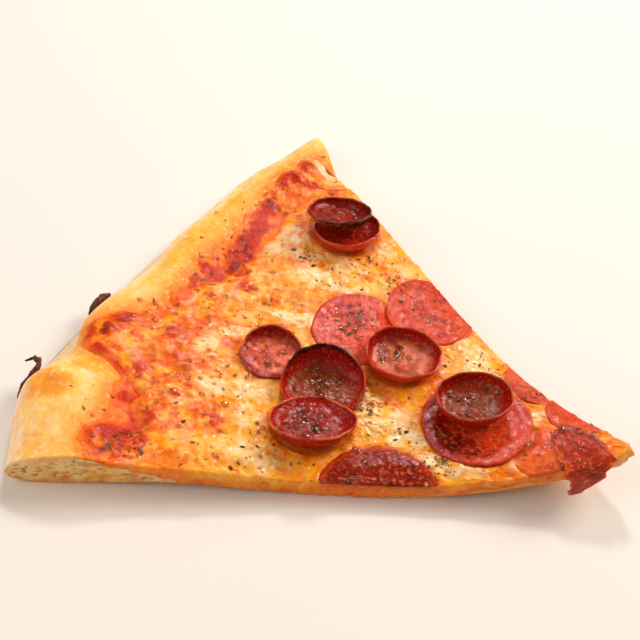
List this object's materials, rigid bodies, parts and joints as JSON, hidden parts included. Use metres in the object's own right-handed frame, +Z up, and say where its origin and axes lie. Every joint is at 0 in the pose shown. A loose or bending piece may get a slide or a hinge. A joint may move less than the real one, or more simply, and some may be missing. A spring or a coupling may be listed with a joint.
{
  "type": "pepperoni pizza slice",
  "caption": "Wedge of baked pizza with a puffed rim, layers of dough, sauce and cheese, flat and cupped pepperoni, a torn piece over one cut and a gently curled-up tip.",
  "frame": {"origin": "middle of the slice's box in plan, on the surface that it rests on", "axes": "+X from the rim towards the tip along the slice's middle line, -Y towards the cut that the torn pepperoni hangs over, +Z up"},
  "size_m": [0.1992, 0.2104, 0.0245],
  "materials": {
    "dough": "baked dough: matt and dry, pale cream to golden with browned spots",
    "sauce": "cooked tomato sauce: moist, red, slightly grainy",
    "cheese": "melted cheese: satin, oily, mottled yellow, cream and orange",
    "pepperoni": "cured sausage: oily, red, with paler fat grains and darkened edges",
    "burnt_crust": "charred crust: dark brown and crisp"
  },
  "bodies": {
    "root": {"dough": "dough", "sauce": "sauce", "cheese": "cheese", "pepperoni_flat_middle": "pepperoni", "pepperoni_flat_far_cut": "pepperoni", "pepperoni_flat_near_cut": "pepperoni", "pepperoni_flat_tip_near": "pepperoni", "pepperoni_flat_large": "pepperoni", "pepperoni_strip_far_cut": "pepperoni", "pepperoni_flat_tip_far": "pepperoni", "pepperoni_cup_lower": "pepperoni", "pepperoni_cup_charred": "pepperoni", "pepperoni_cup_folded": "pepperoni", "pepperoni_cup_burnt_back": "pepperoni", "pepperoni_cup_front": "pepperoni", "pepperoni_cup_middle": "pepperoni", "pepperoni_cup_on_flat": "pepperoni", "pepperoni_torn_hanging": "pepperoni", "burnt_curl": "burnt_crust", "burnt_flake": "burnt_crust"}
  },
  "joints": []
}
